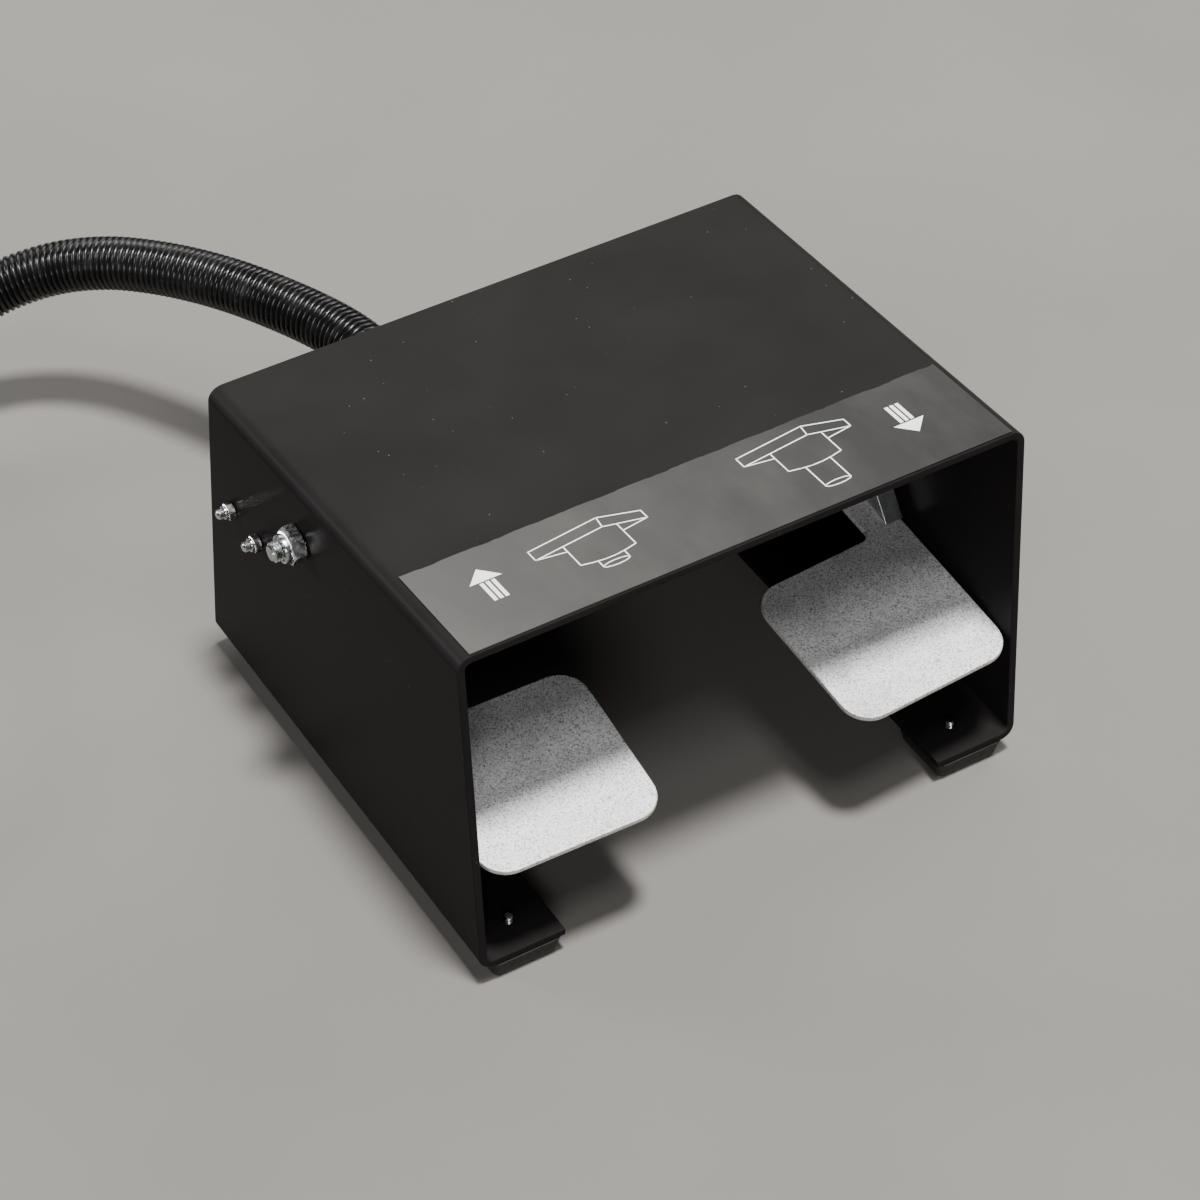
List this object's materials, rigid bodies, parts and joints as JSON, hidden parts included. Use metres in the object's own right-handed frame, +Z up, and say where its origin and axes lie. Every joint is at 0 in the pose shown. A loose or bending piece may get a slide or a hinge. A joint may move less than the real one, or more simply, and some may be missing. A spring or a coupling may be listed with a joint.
{
  "type": "twin pedal foot control",
  "caption": "Foot control with hinged metal pedals under a folded steel guard, each pedal working a limit switch, and a corrugated conduit leaving the back.",
  "frame": {"origin": "on the floor, under the middle of the control without its conduit: halfway across it and halfway between the pedals' front edges and the gland's rear face", "axes": "+Z up, +X to the operator's right along the pivot axle, -Y towards the open front"},
  "size_m": [0.7343, 0.5173, 0.1969],
  "materials": {
    "guard_paint": "satin black powder coat",
    "label": "satin laminate",
    "pedal_paint": "grainy silver metallic paint",
    "zinc": "bright zinc plate",
    "fasteners": "bright zinc plate",
    "bushes": "sintered bronze",
    "spring_steel": "drawn wire",
    "rubber": "moulded",
    "switch_plastic": "moulded",
    "gland_plastic": "moulded",
    "plungers": "turned",
    "lead_sheath": "smooth",
    "conduit_plastic": "glossy corrugated"
  },
  "bodies": {
    "guard": {"cover_shell": "guard_paint", "rear_panel": "guard_paint", "front_label": "label", "left_switch_bracket": "zinc", "right_switch_bracket": "zinc", "axle_spacer": "zinc", "conduit_end_fitting": "zinc", "conduit_end_locknut": "zinc", "pivot_axle": "fasteners", "axle_nut_left": "fasteners", "axle_nut_right": "fasteners", "foot_screw_front_left": "fasteners", "foot_screw_front_right": "fasteners", "foot_screw_rear_left": "fasteners", "foot_screw_rear_right": "fasteners", "left_front_switch_bolt": "fasteners", "left_rear_switch_bolt": "fasteners", "right_front_switch_bolt": "fasteners", "right_rear_switch_bolt": "fasteners", "left_front_switch_nut": "fasteners", "left_rear_switch_nut": "fasteners", "right_front_switch_nut": "fasteners", "right_rear_switch_nut": "fasteners", "gland_locknut": "fasteners", "left_return_spring": "spring_steel", "right_return_spring": "spring_steel", "foot_front_left": "rubber", "foot_front_right": "rubber", "foot_rear_left": "rubber", "foot_rear_right": "rubber", "left_rest_bumper": "rubber", "right_rest_bumper": "rubber", "left_switch_body": "switch_plastic", "right_switch_body": "switch_plastic", "conduit_gland": "gland_plastic", "left_switch_lead": "lead_sheath", "right_switch_lead": "lead_sheath", "conduit_hose": "conduit_plastic", "conduit_coil": "conduit_plastic", "conduit_tail": "conduit_plastic"},
    "left_pedal": {"left_pedal_plate": "pedal_paint", "left_lever": "zinc", "left_pivot_bush": "bushes"},
    "right_pedal": {"right_pedal_plate": "pedal_paint", "right_lever": "zinc", "right_pivot_bush": "bushes"},
    "left_plunger": {"left_switch_plunger": "plungers"},
    "right_plunger": {"right_switch_plunger": "plungers"}
  },
  "joints": [
    {"name": "left_pedal_hinge", "type": "hinge", "parent": "guard", "child": "left_pedal", "pos_m": [0, 0.028, 0.151], "axis": [1, 0, 0], "range_deg": [0, 9], "stiffness_Nm_per_rad": 12.7, "springref_deg": -9, "deforming": ["left_return_spring"]},
    {"name": "right_pedal_hinge", "type": "hinge", "parent": "guard", "child": "right_pedal", "pos_m": [0, 0.028, 0.151], "axis": [1, 0, 0], "range_deg": [0, 9], "stiffness_Nm_per_rad": 12.7, "springref_deg": -9, "deforming": ["right_return_spring"]},
    {"name": "left_plunger_slide", "type": "slide", "parent": "guard", "child": "left_plunger", "axis": [0, 1, 0], "range_m": [0, 0.0059]},
    {"name": "right_plunger_slide", "type": "slide", "parent": "guard", "child": "right_plunger", "axis": [0, 1, 0], "range_m": [0, 0.0059]}
  ],
  "couplings": [
    {"joint": "left_plunger_slide", "follows": "left_pedal_hinge", "m_per_rad": 0.0367},
    {"joint": "right_plunger_slide", "follows": "right_pedal_hinge", "m_per_rad": 0.0367}
  ]
}
